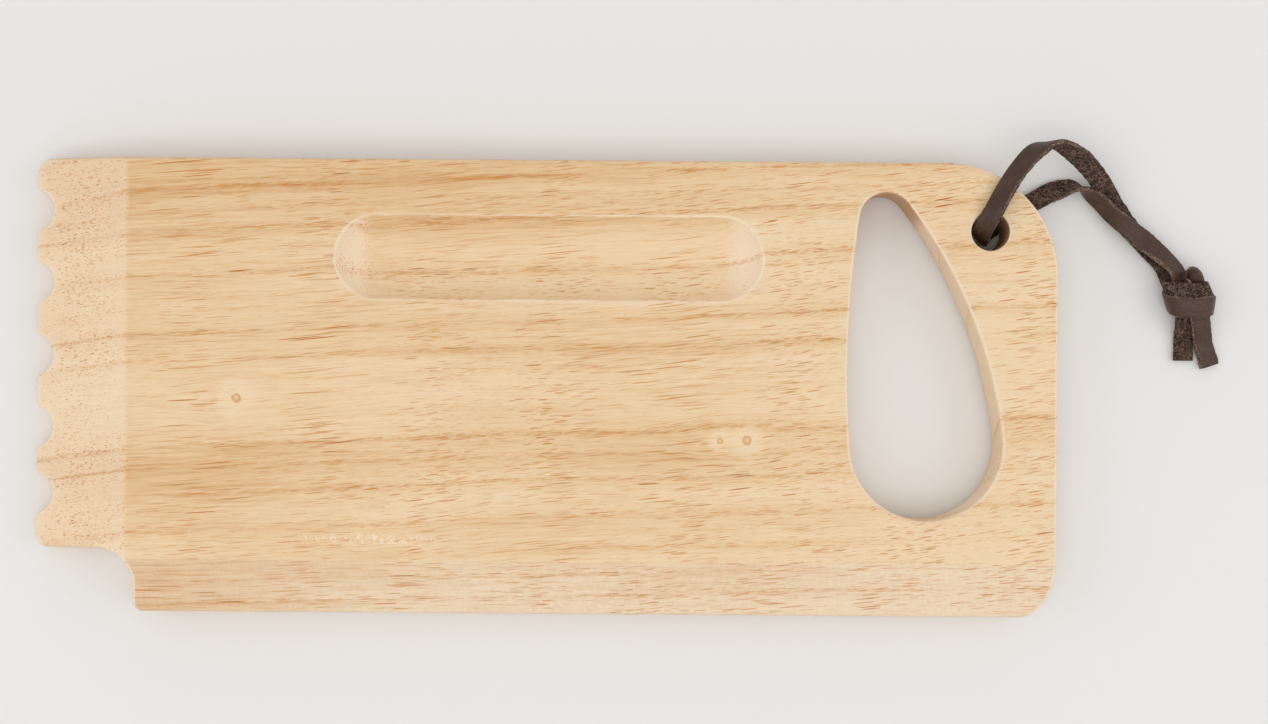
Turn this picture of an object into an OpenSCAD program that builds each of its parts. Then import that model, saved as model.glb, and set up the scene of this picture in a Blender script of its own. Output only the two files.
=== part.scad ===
// Grill scraper: a wooden board with a notched and bevelled scraping end, a finger groove,
// a hand opening, and a leather lace knotted through its corner.
//
// The board lies on its back. +X runs to the handle end, +Y to the edge with the finger groove
// and +Z out of the bevelled front face. The origin is the middle of the back face.
// All sizes are in millimetres.

/* [Board] */
// Length from the notched end to the handle end
board_length = 345; // [320:1:400]
// Width of the board
board_width = 152.4; // [146:0.2:175]
// Thickness of the board
board_thick = 18; // [16:0.5:24]
// Width of the narrow stave, glued along the lower edge
narrow_stave_width = 17.5; // [14:0.5:20]
// Radius of the eased edges of both faces
edge_ease = 1.2; // [0.6:0.1:1.3]

/* [Corners] */
// Radius of the handle corner that carries the lace
lace_corner_r = 38.1; // [34:0.1:44]
// Length of the lower handle corner's curve along the lower edge
heel_corner_length = 12.5; // [6:0.5:20]
// Height of the lower handle corner's curve along the handle end
heel_corner_height = 19; // [8:0.5:30]
// Radius of the upper corner of the notched end
nose_corner_r = 5; // [3:0.5:8]
// Radius of the lower corner of the notched end
tongue_corner_r = 4; // [3:0.5:6]

/* [Step cut] */
// Length of the step cut, from the notched end to its shoulder
step_length = 35; // [28:0.5:45]
// Depth of the step cut, from the lower edge to the tongue
step_depth = 20.8; // [18:0.2:24]
// Radius of the fillet inside the step
step_fillet_r = 12.5; // [6:0.5:15]
// Radius of the step's outer corner
step_corner_r = 3; // [2:0.5:3]

/* [Notches] */
// Number of notches
notch_count = 5; // [3:1:5]
// Radius of a notch
notch_r = 6.9; // [6:0.1:8]
// Depth of a notch, from the end of the board
notch_depth = 5.8; // [5:0.1:6.5]
// Distance from the upper edge to the middle of the first notch
notch_start = 17.4; // [16:0.1:20]
// Distance between the middles of two notches
notch_pitch = 24.5; // [21:0.1:25]
// Distance between the middles of the last two notches
last_notch_pitch = 22.4; // [20:0.1:24]
// Radius of the worn lips of the notches
lip_r = 1.4; // [1.3:0.1:1.8]

/* [Bevel] */
// Length of the bevel, from the notched end to its crest
bevel_length = 32.5; // [25:0.5:45]
// Thickness left at the notched end
nose_thick = 8.6; // [6:0.2:12]

/* [Hand opening] */
// Radius of the wide round end of the opening
palm_r = 25.5; // [22:0.5:27]
// Distance from the handle end to the middle of the wide end
palm_inset = 44; // [40:0.5:50]
// Distance from the lower edge to the middle of the wide end
palm_height = 57.7; // [50:0.1:62]
// Radius of the narrow round end of the opening
tip_r = 8.9; // [7:0.1:11]
// Distance from the handle end to the middle of the narrow end
tip_inset = 57.8; // [54:0.1:62]
// Distance from the upper edge to the middle of the narrow end
tip_drop = 19.1; // [18:0.1:26]
// Radius of the bowed side of the opening towards the handle end
grip_bow_r = 158; // [130:1:300]
// Radius of the bowed side of the opening towards the notched end
blade_bow_r = 350; // [200:5:600]

/* [Finger groove] */
// Length of the groove
groove_length = 144; // [100:1:170]
// Width of the groove at the face
groove_width = 28.7; // [20:0.1:32]
// Depth of the groove
groove_depth = 7; // [4:0.5:9]
// Distance from the notched end to the middle of the groove
groove_middle = 174; // [150:1:190]
// Distance from the upper edge to the middle of the groove
groove_drop = 33; // [28:0.5:40]

/* [Lace hole] */
// Radius of the hole for the lace
lace_hole_r = 6.35; // [6:0.05:8]
// Distance from the handle end and from the upper edge to the middle of the hole
lace_hole_inset = 23; // [21:0.5:26]
// Radius of the hole's eased rims
hole_ease = 0.8; // [0.4:0.1:1.2]

/* [Lace] */
// Width of the leather lace
lace_width = 6.5; // [5:0.1:7]
// Thickness of the leather
lace_thick = 2; // [1.6:0.1:2.2]
// Length of the knot, along the tails
knot_length = 12; // [10:0.5:14]
// Width of the knot, across the tails
knot_width = 19; // [16:0.5:21]
// Height of the knot
knot_height = 11; // [9:0.5:12]

/* [Hidden] */

$fn = 96;
eps = 1;

end_x = board_length / 2;
edge_y = board_width / 2;
glue_y = narrow_stave_width - edge_y;

// How far a chord may lie inside its arc, and steps of a quarter-round edge
chord_error = 0.04;
ease_steps = 2;

tongue_y = step_depth - edge_y;
shoulder_x = step_length - end_x;

// A notch's circle lies a little outside the end, and its lips touch both the circle and the end
notch_out = notch_r - notch_depth;
lip_rise = sqrt(pow(notch_r + lip_r, 2) - pow(notch_out + lip_r, 2));
lip_angle = atan2(lip_rise, notch_out + lip_r);
notch_middles = [for (i = [0 : notch_count - 1])
    edge_y - notch_start - i * notch_pitch + (i == notch_count - 1 ? notch_pitch - last_notch_pitch : 0)];

bevel_angle = atan2(board_thick - nose_thick, bevel_length);

palm_middle = [end_x - palm_inset, palm_height - edge_y];
tip_middle = [end_x - tip_inset, edge_y - tip_drop];

// The groove is cut by a round-nosed tool, so its section is part of a circle
groove_r = (pow(groove_width / 2, 2) + pow(groove_depth, 2)) / (2 * groove_depth);
groove_reach = (groove_length - groove_width) / 2;
groove_centre = [groove_middle - end_x, edge_y - groove_drop, board_thick + groove_r - groove_depth];

lace_hole = [end_x - lace_hole_inset, edge_y - lace_hole_inset];

// Clear space between the lace and the back face, and the bevel along the lace's edges
lace_gap = 0.3;
lace_edge = 0.4;

// Height of the lace's centre line where it runs under the board or lies beside it
under = -(lace_gap + lace_thick / 2);
knot_base = under - lace_thick / 2;
knot_middle = [72, -20.6];

// The lace's route, from the lace hole's middle on the back face: a point on its centre line,
// then the direction across its width.
lace_route = [
    [[69.5, -43, under], [1, 0, 0]],
    [[70, -35, under], [1, 0, 0]],
    [[71, -26, 0], [1, 0.2, 0]],
    [[69, -17, 0.2], [0.9, 0.5, 0]],
    [[63.5, -9.5, -0.4], [0.8, 0.6, 0]],
    [[57, -2, under], [0.8, 0.6, 0]],
    [[51, 5, -0.8], [0.8, 0.6, 0]],
    [[45.5, 13, 2], [0.8, 0.6, 0.1]],
    [[40, 21, 6.5], [0.7, 0.6, 0.3]],
    [[33, 28, 11.5], [0.2, 0.3, 0.9]],
    [[25, 30, 15.5], [0.1, -0.3, 0.9]],
    [[16.5, 26.5, 18.8], [0.7, -0.6, 0.4]],
    [[10, 20.5, board_thick + 2], [0.8, -0.6, 0.1]],
    [[5.5, 13, board_thick + 2.4], [0.8, -0.5, 0]],
    [[1.5, 5, board_thick + 1.6], [0.9, -0.4, 0]],
    [[-1.2, -0.2, board_thick - 4], [0.9, -0.5, 0]],
    [[-1.6, -1.4, board_thick / 2], [0.7, -0.7, 0]],
    [[-1, -0.8, 3.4], [0.6, -0.8, 0]],
    [[3, 2.2, under + 0.2], [0.5, -0.8, 0]],
    [[8.5, 5.6, under], [0.5, -0.8, 0]],
    [[18, 11.6, under], [0.5, -0.8, 0]],
    [[26, 15.6, -0.6], [0.3, -0.9, 0.2]],
    [[33, 17, 1.2], [0.1, -0.4, 0.9]],
    [[39, 14.6, 1.8], [0.5, 0.4, 0.8]],
    [[45, 8, 1.2], [0.7, 0.7, 0.1]],
    [[52, 0.5, 1.4], [0.7, 0.7, 0]],
    [[59, -7, 2], [0.7, 0.7, 0]],
    [[66, -13.5, 2.8], [0.7, 0.6, 0]],
    [[72.5, -20, 3], [0.9, 0.4, 0]],
    [[74.5, -28, 1.8], [1, 0.2, 0]],
    [[77, -37, under], [1, 0.3, 0]],
    [[78.5, -45, under], [1, 0.2, 0]]
];
lace_steps = 2;

// Points along an elliptical arc, as [point, outward normal]. side is -1 on a hollow curve.
function arc(middle, rx, ry, from, to, side = 1) =
    let (n = max(2, ceil(abs(to - from) / (2 * acos(1 - chord_error / max(rx, ry))))))
    [for (i = [0 : n])
        let (a = from + (to - from) * i / n, away = [cos(a) / rx, sin(a) / ry])
        [middle + [rx * cos(a), ry * sin(a)], side * away / norm(away)]];

function inner(points) = [for (i = [1 : len(points) - 2]) points[i]];

function notch(y) = concat(
    arc([lip_r - end_x, y + lip_rise], lip_r, lip_r, 180, 180 + lip_angle),
    inner(arc([-end_x - notch_out, y], notch_r, notch_r, lip_angle, -lip_angle, -1)),
    arc([lip_r - end_x, y - lip_rise], lip_r, lip_r, 180 - lip_angle, 180)
);

// The board's outline, counter-clockwise from the handle end
board_path = concat(
    arc([end_x - lace_corner_r, edge_y - lace_corner_r], lace_corner_r, lace_corner_r, 0, 90),
    arc([nose_corner_r - end_x, edge_y - nose_corner_r], nose_corner_r, nose_corner_r, 90, 180),
    [for (y = notch_middles) each notch(y)],
    arc([tongue_corner_r - end_x, tongue_y + tongue_corner_r], tongue_corner_r, tongue_corner_r, 180, 270),
    arc([shoulder_x - step_fillet_r, tongue_y - step_fillet_r], step_fillet_r, step_fillet_r, 90, 0, -1),
    arc([shoulder_x + step_corner_r, step_corner_r - edge_y], step_corner_r, step_corner_r, 180, 270),
    arc([end_x - heel_corner_length, heel_corner_height - edge_y],
        heel_corner_length, heel_corner_height, 270, 360)
);

// Middle of the large circle that two round ends touch from inside; it lies left of the way from a to b
function bow_middle(a, ra, b, rb, bow_r) =
    let (
        apart = norm(b - a),
        along = (b - a) / apart,
        reach = (pow(bow_r - ra, 2) - pow(bow_r - rb, 2) + apart * apart) / (2 * apart)
    )
    a + reach * along + sqrt(pow(bow_r - ra, 2) - reach * reach) * [-along.y, along.x];

function heading(from, to) = atan2(to.y - from.y, to.x - from.x);

// A round end and the bowed side after it
function round_end(middle, r, bow_before, bow_after, next_middle, bow_r) =
    let (
        from = heading(bow_before, middle),
        to = heading(bow_after, middle),
        turn = (to - from + 360) % 360,
        far = heading(bow_after, next_middle),
        bow_turn = (far - to + 360) % 360
    )
    concat(arc(middle, r, r, from, from + turn), inner(arc(bow_after, bow_r, bow_r, to, to + bow_turn)));

grip_bow = bow_middle(palm_middle, palm_r, tip_middle, tip_r, grip_bow_r);
blade_bow = bow_middle(tip_middle, tip_r, palm_middle, palm_r, blade_bow_r);

// The hand opening's outline, counter-clockwise from its wide end
opening_path = concat(
    round_end(palm_middle, palm_r, blade_bow, grip_bow, tip_middle, grip_bow_r),
    round_end(tip_middle, tip_r, grip_bow, blade_bow, palm_middle, blade_bow_r)
);

// Quarter-round profile of an edge, as [distance from the outline, height above the face]
function eased(r) = [for (i = [0 : ease_steps]) let (a = 90 * i / ease_steps) r * [1 - sin(a), 1 - cos(a)]];

// Faces of a solid whose rings have n points each, with flat first and last rings
function skin(rings, n) = concat(
    [for (k = [0 : rings - 2], i = [0 : n - 1], half = [0, 1])
        let (j = (i + 1) % n, low = k * n, high = low + n)
        half == 0 ? [low + i, high + i, high + j] : [low + i, high + j, low + j]],
    [[for (i = [0 : n - 1]) i]],
    [[for (i = [n - 1 : -1 : 0]) (rings - 1) * n + i]]
);

// Carries a profile of [inset, height] pairs round an outline
module carried(path, profile) {
    points = [for (step = profile, p = path) let (at = p[0] - step.x * p[1]) [at.x, at.y, step.y]];
    polyhedron(points, skin(len(profile), len(path)), convexity = 6);
}

// Profile of a wall from face to face. Its eased edges run on past the faces, and side is -1 on an opening.
function wall_profile(side) =
    let (
        back = [for (p = eased(edge_ease)) [side * p.x, p.y]],
        front = [for (i = [ease_steps : -1 : 0]) [back[i].x, board_thick - back[i].y]],
        flat = side * edge_ease
    )
    concat([[flat, -eps]], back, front, [[flat, board_thick + eps]]);

module blank() {
    carried(board_path, wall_profile(1));
}

module opening_cutter() {
    carried(opening_path, wall_profile(-1));
}

module bevel_cutter() {
    translate([bevel_length - end_x, 0, board_thick])
        rotate([0, -bevel_angle, 0])
            translate([-2 * bevel_length, -board_width, 0])
                cube([2 * bevel_length, 2 * board_width, board_thick]);
}

module groove_cutter() {
    translate(groove_centre) {
        rotate([0, 90, 0]) cylinder(h = 2 * groove_reach, r = groove_r, center = true);
        for (side = [-1, 1]) translate([side * groove_reach, 0, 0]) sphere(r = groove_r);
    }
}

// One eased rim of the lace hole, flaring towards -Z
module hole_rim() {
    rotate_extrude()
        difference() {
            translate([0, -eps]) square([lace_hole_r + hole_ease, eps + hole_ease]);
            translate([lace_hole_r + hole_ease, hole_ease]) circle(r = hole_ease);
        }
}

module lace_hole_cutter() {
    translate([lace_hole.x, lace_hole.y, 0]) {
        translate([0, 0, -eps]) cylinder(h = board_thick + 2 * eps, r = lace_hole_r);
        hole_rim();
        translate([0, 0, board_thick]) mirror([0, 0, 1]) hole_rim();
    }
}

// The part of the board between two heights across its width
module stave(from_y, to_y) {
    difference() {
        intersection() {
            blank();
            translate([-board_length, from_y, 0])
                cube([2 * board_length, to_y - from_y, board_thick]);
        }
        opening_cutter();
        bevel_cutter();
        groove_cutter();
        lace_hole_cutter();
    }
}

module wide_stave() {
    color("#E3C197") stave(glue_y, board_width);
}

module narrow_stave() {
    color("#E6CBA5") stave(-board_width, glue_y);
}

// A smooth curve through four points or directions, between the second and the third
function between(a, b, c, d, t) =
    (2 * b + (c - a) * t + (2 * a - 5 * b + 4 * c - d) * t * t + (3 * b - a - 3 * c + d) * t * t * t) / 2;

function route_at(k, t, part) =
    let (last = len(lace_route) - 1)
    between(lace_route[max(k - 1, 0)][part], lace_route[k][part],
        lace_route[min(k + 1, last)][part], lace_route[min(k + 2, last)][part], t);

// The lace's section: a strip with its corners taken off
function strip_section() =
    let (w = lace_width / 2, h = lace_thick / 2, c = lace_edge)
    [[w, h - c], [w - c, h], [c - w, h], [-w, h - c], [-w, c - h], [c - w, -h], [w - c, -h], [w, c - h]];

module lace_strip() {
    section = strip_section();
    spans = len(lace_route) - 1;
    count = spans * lace_steps + 1;
    centres = [for (i = [0 : count - 1])
        let (k = min(floor(i / lace_steps), spans - 1)) route_at(k, i / lace_steps - k, 0)];
    across = [for (i = [0 : count - 1])
        let (k = min(floor(i / lace_steps), spans - 1)) route_at(k, i / lace_steps - k, 1)];
    points = [for (i = [0 : count - 1])
        let (
            ahead = centres[min(i + 1, count - 1)] - centres[max(i - 1, 0)],
            along = ahead / norm(ahead),
            level = across[i] - (across[i] * along) * along,
            side = level / norm(level),
            up = cross(along, side)
        )
        for (p = section) centres[i] + p.x * side + p.y * up];
    polyhedron(points, skin(count, len(section)), convexity = 10);
}

// The knot's outer shape: a pad as high as the wrapped strips, rounded all round
module knot() {
    r = knot_height / 2;
    translate([knot_middle.x, knot_middle.y, knot_base + r])
        hull()
            for (x = [-1, 1], y = [-1, 1])
                translate([x * (knot_width / 2 - r), y * (knot_length / 2 - r), 0]) sphere(r = r, $fn = 20);
}

module leather_lace() {
    color("#4C3B31")
        translate([lace_hole.x, lace_hole.y, 0]) {
            lace_strip();
            knot();
        }
}

wide_stave();
narrow_stave();
leather_lace();
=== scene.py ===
"""Looks of a wooden grill scraper with a leather lace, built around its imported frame.

The board is two glued rubberwood staves. Both are cut from one surface mesh, whose outline, hand
opening, bevel and finger groove are the frame's own, with finer arcs and softened edges. The lace
is one strip of leather, swept along its route, with an overhand knot tied in both of its ends.
Lengths are in metres, and in the wood's material in millimetres.
"""

import math

import bmesh
import bpy
import numpy as np
from mathutils import Matrix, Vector
from mathutils.geometry import delaunay_2d_cdt


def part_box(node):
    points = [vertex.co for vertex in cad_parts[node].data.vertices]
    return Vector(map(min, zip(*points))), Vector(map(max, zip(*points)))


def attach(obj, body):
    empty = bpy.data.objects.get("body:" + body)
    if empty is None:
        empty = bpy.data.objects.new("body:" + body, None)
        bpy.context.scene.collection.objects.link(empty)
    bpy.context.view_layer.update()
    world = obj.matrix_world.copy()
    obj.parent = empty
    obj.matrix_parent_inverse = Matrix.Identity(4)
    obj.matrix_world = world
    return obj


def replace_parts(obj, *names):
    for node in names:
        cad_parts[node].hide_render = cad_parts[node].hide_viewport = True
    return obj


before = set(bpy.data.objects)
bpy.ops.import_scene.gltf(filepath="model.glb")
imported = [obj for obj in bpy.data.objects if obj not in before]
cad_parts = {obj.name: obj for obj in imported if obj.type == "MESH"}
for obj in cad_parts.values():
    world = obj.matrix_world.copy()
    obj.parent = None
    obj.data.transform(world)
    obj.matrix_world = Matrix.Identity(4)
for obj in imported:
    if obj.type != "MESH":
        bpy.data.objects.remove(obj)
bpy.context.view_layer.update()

# The frame's own planes
wide_low, wide_high = (np.round(np.array(corner), 6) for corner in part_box("wide_stave"))
END_X, EDGE_Y, THICK = wide_high
GLUE_Y = wide_low[1]

# Millimetres in a metre
MM = 1000.0

# Outline of the board
EDGE_EASE = 0.0012
LACE_CORNER_R = 0.0381
HEEL_CORNER = (0.0125, 0.019)
NOSE_CORNER_R = 0.005
TONGUE_CORNER_R = 0.004
STEP_LENGTH = 0.035
STEP_DEPTH = 0.0208
STEP_FILLET_R = 0.0125
STEP_CORNER_R = 0.003
NOTCH_COUNT = 5
NOTCH_R = 0.0069
NOTCH_DEPTH = 0.0058
NOTCH_START = 0.0174
NOTCH_PITCH = 0.0245
LAST_NOTCH_PITCH = 0.0224
LIP_R = 0.0014

# Bevel, hand opening, finger groove and lace hole
BEVEL_LENGTH = 0.0325
NOSE_THICK = 0.0086
PALM_R = 0.0255
PALM = np.array([END_X - 0.044, 0.0577 - EDGE_Y])
TIP_R = 0.0089
TIP = np.array([END_X - 0.0578, EDGE_Y - 0.0191])
GRIP_BOW_R = 0.158
BLADE_BOW_R = 0.350
GROOVE_LENGTH = 0.144
GROOVE_WIDTH = 0.0287
GROOVE_DEPTH = 0.007
GROOVE = np.array([0.174 - END_X, EDGE_Y - 0.033])
LACE_HOLE_R = 0.00635
LACE_HOLE = np.array([END_X - 0.023, EDGE_Y - 0.023])
HOLE_EASE = 0.0008

# How far the crest of the bevel and the rim of the groove are sanded round, and how wide the
# painted highlight along them is
CREST_SOFT = 0.0011
RIM_SOFT = 0.00035
CREST_HIGHLIGHT = 0.0007
RIM_HIGHLIGHT = 0.0005

# Steps of the surface mesh, and the rows of points beside each edge of a face
ARC_STEP = 0.0005
RUN_STEP = 0.003
EASE_STEPS = 5
HOLE_POINTS = 96
FACE_STEP = 0.0035
BACK_STEP = 0.012
EDGE_ROW = 0.0006
EDGE_CLEARANCE = 0.0009
SAME_POINT = 1e-7

# Rings of points round the groove: how many lie in its hollow and where the last of them is inside
# the rim, how many each side of the rim and their step, the one outside them, and the points' step
HOLLOW_RINGS = 11
HOLLOW_END = 0.0022
RIM_RINGS = 3
RIM_STEP = 0.0005
OUTER_RING = 0.0028
GROOVE_RUN_POINTS = 60
GROOVE_TURN_STEP = 0.0012


def arc(middle, radii, start, stop, hollow=False):
    """Points middle + (rx cos a, ry sin a) of an arc, and its normals, which point to the middle on
    a hollow arc. One radius makes it round, and the angles are in degrees."""
    rx, ry = np.broadcast_to(radii, 2)
    turn = math.radians(abs(stop - start))
    a = np.radians(np.linspace(start, stop, max(5, math.ceil(turn * max(rx, ry) / ARC_STEP) + 1)))
    points = np.asarray(middle) + np.c_[rx * np.cos(a), ry * np.sin(a)]
    away = np.c_[np.cos(a) / rx, np.sin(a) / ry]
    away /= np.linalg.norm(away, axis=1)[:, None]
    return np.c_[points, -away if hollow else away]


def closed(arcs):
    """Joins arcs into one closed outline, with equal steps on the straight runs between them."""
    rows = np.vstack(arcs)
    after = np.roll(rows, -1, axis=0)
    rows = rows[np.linalg.norm(after[:, :2] - rows[:, :2], axis=1) > SAME_POINT]
    after = np.roll(rows, -1, axis=0)
    gaps = np.linalg.norm(after[:, :2] - rows[:, :2], axis=1)
    pieces = []
    for here, there, gap in zip(rows, after, gaps):
        steps = max(1, round(gap / RUN_STEP))
        pieces.append(here + np.arange(steps)[:, None] / steps * (there - here))
    return np.vstack(pieces)


def notch(y):
    """A notch: part of a circle a little outside the end, with a worn lip on each side."""
    out = NOTCH_R - NOTCH_DEPTH
    rise = math.sqrt((NOTCH_R + LIP_R) ** 2 - (out + LIP_R) ** 2)
    lean = math.degrees(math.atan2(rise, out + LIP_R))
    return [
        arc([LIP_R - END_X, y + rise], LIP_R, 180, 180 + lean),
        arc([-END_X - out, y], NOTCH_R, lean, -lean, hollow=True),
        arc([LIP_R - END_X, y - rise], LIP_R, 180 - lean, 180),
    ]


def board_outline():
    """The board's outline, counter-clockwise from the handle end."""
    tongue_y = STEP_DEPTH - EDGE_Y
    shoulder_x = STEP_LENGTH - END_X
    across, high = HEEL_CORNER
    arcs = [
        arc([END_X - LACE_CORNER_R, EDGE_Y - LACE_CORNER_R], LACE_CORNER_R, 0, 90),
        arc([NOSE_CORNER_R - END_X, EDGE_Y - NOSE_CORNER_R], NOSE_CORNER_R, 90, 180),
    ]
    for i in range(NOTCH_COUNT):
        last = i == NOTCH_COUNT - 1
        nearer = last * (NOTCH_PITCH - LAST_NOTCH_PITCH)
        arcs += notch(EDGE_Y - NOTCH_START - i * NOTCH_PITCH + nearer)
    fillet = [shoulder_x - STEP_FILLET_R, tongue_y - STEP_FILLET_R]
    arcs += [
        arc([TONGUE_CORNER_R - END_X, tongue_y + TONGUE_CORNER_R], TONGUE_CORNER_R, 180, 270),
        arc(fillet, STEP_FILLET_R, 90, 0, hollow=True),
        arc([shoulder_x + STEP_CORNER_R, STEP_CORNER_R - EDGE_Y], STEP_CORNER_R, 180, 270),
        arc([END_X - across, high - EDGE_Y], HEEL_CORNER, 270, 360),
    ]
    return closed(arcs)


def bow_middle(a, ra, b, rb, r):
    """Middle of the large circle of radius r that two round ends touch from inside."""
    apart = np.linalg.norm(b - a)
    along = (b - a) / apart
    reach = ((r - ra) ** 2 - (r - rb) ** 2 + apart**2) / (2 * apart)
    return a + reach * along + math.sqrt((r - ra) ** 2 - reach**2) * np.array([-along[1], along[0]])


def heading(start, stop):
    """Direction from one point to another, in degrees."""
    return math.degrees(math.atan2(stop[1] - start[1], stop[0] - start[0]))


def opening_outline():
    """The hand opening: a wide and a narrow round end, joined by two large arcs that touch both."""
    grip = bow_middle(PALM, PALM_R, TIP, TIP_R, GRIP_BOW_R)
    blade = bow_middle(TIP, TIP_R, PALM, PALM_R, BLADE_BOW_R)
    ends = [
        (PALM, PALM_R, blade, grip, TIP, GRIP_BOW_R),
        (TIP, TIP_R, grip, blade, PALM, BLADE_BOW_R),
    ]
    arcs = []
    for middle, r, before, after, following, bow_r in ends:
        start, stop = heading(before, middle), heading(after, middle)
        far = heading(after, following)
        arcs.append(arc(middle, r, start, start + (stop - start) % 360))
        arcs.append(arc(after, bow_r, stop, stop + (far - stop) % 360))
    return closed(arcs)


def soft_max(t, soft):
    """The larger of t and nought, with the corner rounded by a parabola from -soft to soft."""
    return np.where(np.abs(t) < soft, (t + soft) ** 2 / (4 * soft), np.maximum(t, 0))


def groove_distance(x, y):
    """Distance from the finger groove's middle line, which ends a half width before its ends."""
    reach = (GROOVE_LENGTH - GROOVE_WIDTH) / 2
    return np.hypot(np.maximum(np.abs(x - GROOVE[0]) - reach, 0), y - GROOVE[1])


def front(x, y):
    """Height of the front face: flat, less the bevel, and less the groove, whose section is an arc
    of the circle through its rims and its floor, turned round at both ends. The distance stops
    just short of the circle's radius."""
    bevel = (THICK - NOSE_THICK) / BEVEL_LENGTH * soft_max(BEVEL_LENGTH - END_X - x, CREST_SOFT)
    r = ((GROOVE_WIDTH / 2) ** 2 + GROOVE_DEPTH**2) / (2 * GROOVE_DEPTH)
    d = np.minimum(groove_distance(x, y), r * 0.999)
    groove = soft_max(np.sqrt(r**2 - d**2) - (r - GROOVE_DEPTH), RIM_SOFT)
    return THICK - bevel - groove


def wall(outline, ease, side):
    """Rings of points from the back face up to the front one, with quarter-round edges of radius
    ease. A ring is the outline moved inwards along its normals, and side is -1 round a hole."""
    points, normals = outline[:, :2], outline[:, 2:]
    turns = np.radians(np.linspace(0, 90, EASE_STEPS + 1))
    rings = []
    for a in turns:
        at = points - side * ease * (1 - math.sin(a)) * normals
        rings.append(np.c_[at, np.full(len(at), ease * (1 - math.cos(a)))])
    for a in turns[::-1]:
        at = points - side * ease * (1 - math.sin(a)) * normals
        rings.append(np.c_[at, front(at[:, 0], at[:, 1]) - ease * (1 - math.cos(a))])
    return np.array(rings)


def ring_faces(rings, around, side):
    """Quads between rings of so many points each, facing out of the wood."""
    k, i = np.meshgrid(np.arange(rings - 1), np.arange(around), indexing="ij")
    j = (i + 1) % around
    low, high = k * around, (k + 1) * around
    return np.stack([low + i, low + j, high + j, high + i], -1).reshape(-1, 4)[:, ::side]


def inside(points, loop):
    """True for each point that an odd number of the loop's edges lie to the right of."""
    x, y = points[:, 0, None], points[:, 1, None]
    ax, ay = loop.T
    bx, by = np.roll(loop, -1, axis=0).T
    crosses = (ay > y) != (by > y)
    with np.errstate(divide="ignore", invalid="ignore"):
        hit = crosses & (x < ax + (y - ay) * (bx - ax) / (by - ay))
    return hit.sum(1) % 2 == 1


def far_from(points, others, reach):
    """The points that lie further than reach from all the others, worked out about 500 at once."""
    keep = [np.sum((p[:, None] - others[None]) ** 2, -1).min(1) > reach**2
            for p in np.array_split(points, max(1, len(points) // 500))]
    return points[np.concatenate(keep)]


def lattice(xs, ys):
    """Points at each of the xs, by each of the ys."""
    return np.stack(np.meshgrid(xs, ys), -1).reshape(-1, 2)


def face_points():
    """Points inside the front face: a plain grid, lines along the bevel's crest, and rings round
    the groove that stand closer together at its rim."""
    grid = lattice(np.arange(-END_X, END_X, FACE_STEP), np.arange(-EDGE_Y, EDGE_Y, FACE_STEP))
    crest = BEVEL_LENGTH - END_X
    half, reach = GROOVE_WIDTH / 2, (GROOVE_LENGTH - GROOVE_WIDTH) / 2
    grid = grid[np.abs(grid[:, 0] - crest) > 2.2 * CREST_SOFT + FACE_STEP / 3]
    grid = grid[groove_distance(*grid.T) > half + FACE_STEP / 2]
    lines = lattice(crest + CREST_SOFT * np.array([-2, -1, -0.5, 0, 0.5, 1, 2]),
                    np.arange(-EDGE_Y, EDGE_Y, FACE_STEP / 2))
    rim = half + RIM_STEP * np.arange(-RIM_RINGS, RIM_RINGS + 1)
    run = np.linspace(-reach, reach, GROOVE_RUN_POINTS)
    rings = []
    for d in np.r_[np.linspace(0, half - HOLLOW_END, HOLLOW_RINGS), rim, half + OUTER_RING]:
        count = max(2, math.ceil(math.pi * d / GROOVE_TURN_STEP))
        turn = np.linspace(-math.pi / 2, math.pi / 2, count)[1:-1]
        rings += [GROOVE + np.c_[run, np.full(len(run), s * d)] for s in ((-1, 1) if d else (1,))]
        rings += [GROOVE + np.c_[s * (reach + d * np.cos(turn)), d * np.sin(turn)] for s in (-1, 1)]
    return np.vstack([grid, lines, *rings])


def face(loops, points, height):
    """Triangles of a face between its outline, the first loop, and its holes, the others, through
    the given points, each at its height. They are joined in millimetres, to a millionth of one."""
    kept = points[inside(points, loops[0])]
    for loop in loops[1:]:
        kept = kept[~inside(kept, loop)]
    kept = far_from(kept, np.vstack(loops), EDGE_CLEARANCE)
    edges = []
    start = 0
    for loop in loops:
        i = np.arange(len(loop))
        edges += np.c_[start + i, start + (i + 1) % len(loop)].tolist()
        start += len(loop)
    flat = np.vstack([*loops, kept])
    verts, _, tris, *_ = delaunay_2d_cdt([tuple(p) for p in flat * MM], edges, [], 1, 1e-6, False)
    verts = np.array(verts) / MM
    tris = np.array([t for t in tris if len(t) == 3])
    middles = verts[tris].mean(1)
    wood = inside(middles, loops[0])
    for loop in loops[1:]:
        wood &= ~inside(middles, loop)
    return np.c_[verts, height(verts[:, 0], verts[:, 1])], tris[wood]


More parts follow.
